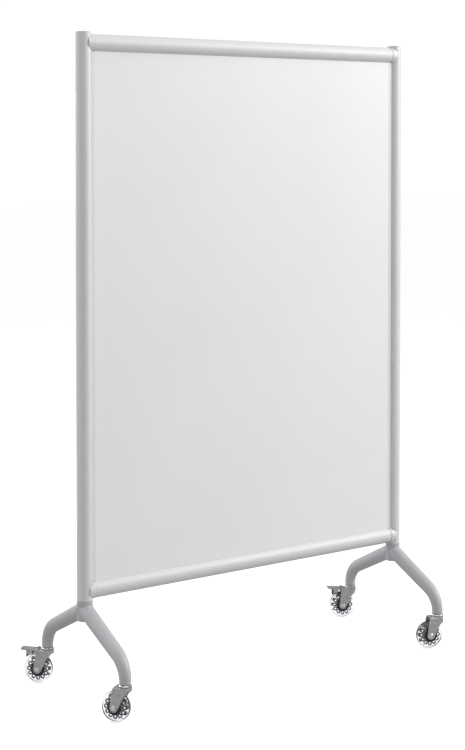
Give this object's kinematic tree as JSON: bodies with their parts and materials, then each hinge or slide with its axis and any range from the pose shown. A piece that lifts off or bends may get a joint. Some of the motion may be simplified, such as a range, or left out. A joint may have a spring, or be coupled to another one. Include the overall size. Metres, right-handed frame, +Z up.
{
  "type": "rolling whiteboard",
  "caption": "Free-standing double-sided whiteboard in a round-tube frame, on splayed bent legs with swivel casters, the rear ones with foot brakes.",
  "frame": {"origin": "on the floor, at the middle of the footprint box", "axes": "+X along the board to the right as seen from the front, -Y out of the front writing face, +Z up"},
  "size_m": [1.1042, 0.4496, 1.676],
  "materials": {
    "silver_paint": "satin silver powder coat",
    "grey_paint": "fine metallic grey powder coat",
    "writing_surface": "smooth white enamel on steel",
    "board_core": "paper honeycomb between facings",
    "white_trim": "satin pale grey plastic",
    "fork_steel": "zinc plated pressed steel",
    "bright_chrome": "polished",
    "clear_tread": "clear polyurethane",
    "black_plastic": "moulded black plastic",
    "black_rubber": "matt",
    "socket_plastic": "moulded",
    "plain_steel": "zinc plated"
  },
  "bodies": {
    "frame": {"back_writing_sheet": "writing_surface", "bottom_left_saddle": "silver_paint", "bottom_rail": "silver_paint", "bottom_right_saddle": "silver_paint", "caster_raceways": "bright_chrome", "caster_stems": "plain_steel", "caster_washers": "black_rubber", "front_left_leg": "grey_paint", "front_right_leg": "grey_paint", "front_writing_sheet": "writing_surface", "hub_bottom_plugs": "grey_paint", "left_base_hub": "grey_paint", "left_edge_trim": "white_trim", "left_post": "silver_paint", "left_post_cap": "silver_paint", "panel_core": "board_core", "post_lock_screws": "plain_steel", "rail_set_screws": "plain_steel", "rear_left_leg": "grey_paint", "rear_right_leg": "grey_paint", "right_base_hub": "grey_paint", "right_edge_trim": "white_trim", "right_post": "silver_paint", "right_post_cap": "silver_paint", "saddle_bolts": "plain_steel", "stem_sockets": "socket_plastic", "swivel_balls": "plain_steel", "top_left_saddle": "silver_paint", "top_rail": "silver_paint", "top_right_saddle": "silver_paint"},
    "front_left_caster": {"front_left_fork": "fork_steel", "front_left_axle": "bright_chrome"},
    "front_left_wheel": {"front_left_wheel_core": "black_plastic", "front_left_tread": "clear_tread", "front_left_wheel_bushing": "plain_steel"},
    "rear_left_caster": {"rear_left_fork": "fork_steel", "rear_left_axle": "bright_chrome", "rear_left_pedal_pin": "plain_steel", "rear_left_brake_spring": "plain_steel"},
    "rear_left_wheel": {"rear_left_wheel_core": "black_plastic", "rear_left_tread": "clear_tread", "rear_left_wheel_bushing": "plain_steel"},
    "rear_left_brake": {"rear_left_brake_pedal": "fork_steel", "rear_left_brake_shoe": "black_plastic"},
    "front_right_caster": {"front_right_fork": "fork_steel", "front_right_axle": "bright_chrome"},
    "front_right_wheel": {"front_right_wheel_core": "black_plastic", "front_right_tread": "clear_tread", "front_right_wheel_bushing": "plain_steel"},
    "rear_right_caster": {"rear_right_fork": "fork_steel", "rear_right_axle": "bright_chrome", "rear_right_pedal_pin": "plain_steel", "rear_right_brake_spring": "plain_steel"},
    "rear_right_wheel": {"rear_right_wheel_core": "black_plastic", "rear_right_tread": "clear_tread", "rear_right_wheel_bushing": "plain_steel"},
    "rear_right_brake": {"rear_right_brake_pedal": "fork_steel", "rear_right_brake_shoe": "black_plastic"}
  },
  "joints": [
    {"name": "front_left_swivel", "type": "hinge", "parent": "frame", "child": "front_left_caster", "pos_m": [-0.49491, -0.2049, 0.0878], "axis": [0, 0, 1], "continuous": true},
    {"name": "front_left_wheel_spin", "type": "hinge", "parent": "front_left_caster", "child": "front_left_wheel", "pos_m": [-0.50833, -0.185, 0.0375], "axis": [0.829, 0.5592, 0], "continuous": true},
    {"name": "rear_left_swivel", "type": "hinge", "parent": "frame", "child": "rear_left_caster", "pos_m": [-0.49491, 0.1691, 0.0878], "axis": [0, 0, 1], "continuous": true},
    {"name": "rear_left_wheel_spin", "type": "hinge", "parent": "rear_left_caster", "child": "rear_left_wheel", "pos_m": [-0.51218, 0.18577, 0.0375], "axis": [0.6947, 0.7193, 0], "continuous": true},
    {"name": "rear_left_brake_press", "type": "hinge", "parent": "rear_left_caster", "child": "rear_left_brake", "pos_m": [-0.51361, 0.18716, 0.0845], "axis": [-0.6947, -0.7193, 0], "range_deg": [0, 8]},
    {"name": "front_right_swivel", "type": "hinge", "parent": "frame", "child": "front_right_caster", "pos_m": [0.53209, -0.2049, 0.0878], "axis": [0, 0, 1], "continuous": true},
    {"name": "front_right_wheel_spin", "type": "hinge", "parent": "front_right_caster", "child": "front_right_wheel", "pos_m": [0.51, -0.19552, 0.0375], "axis": [0.3907, 0.9205, 0], "continuous": true},
    {"name": "rear_right_swivel", "type": "hinge", "parent": "frame", "child": "rear_right_caster", "pos_m": [0.53209, 0.1691, 0.0878], "axis": [0, 0, 1], "continuous": true},
    {"name": "rear_right_wheel_spin", "type": "hinge", "parent": "rear_right_caster", "child": "rear_right_wheel", "pos_m": [0.51152, 0.18146, 0.0375], "axis": [0.515, 0.8572, 0], "continuous": true},
    {"name": "rear_right_brake_press", "type": "hinge", "parent": "rear_right_caster", "child": "rear_right_brake", "pos_m": [0.5098, 0.18249, 0.0845], "axis": [-0.515, -0.8572, 0], "range_deg": [0, 8]}
  ]
}
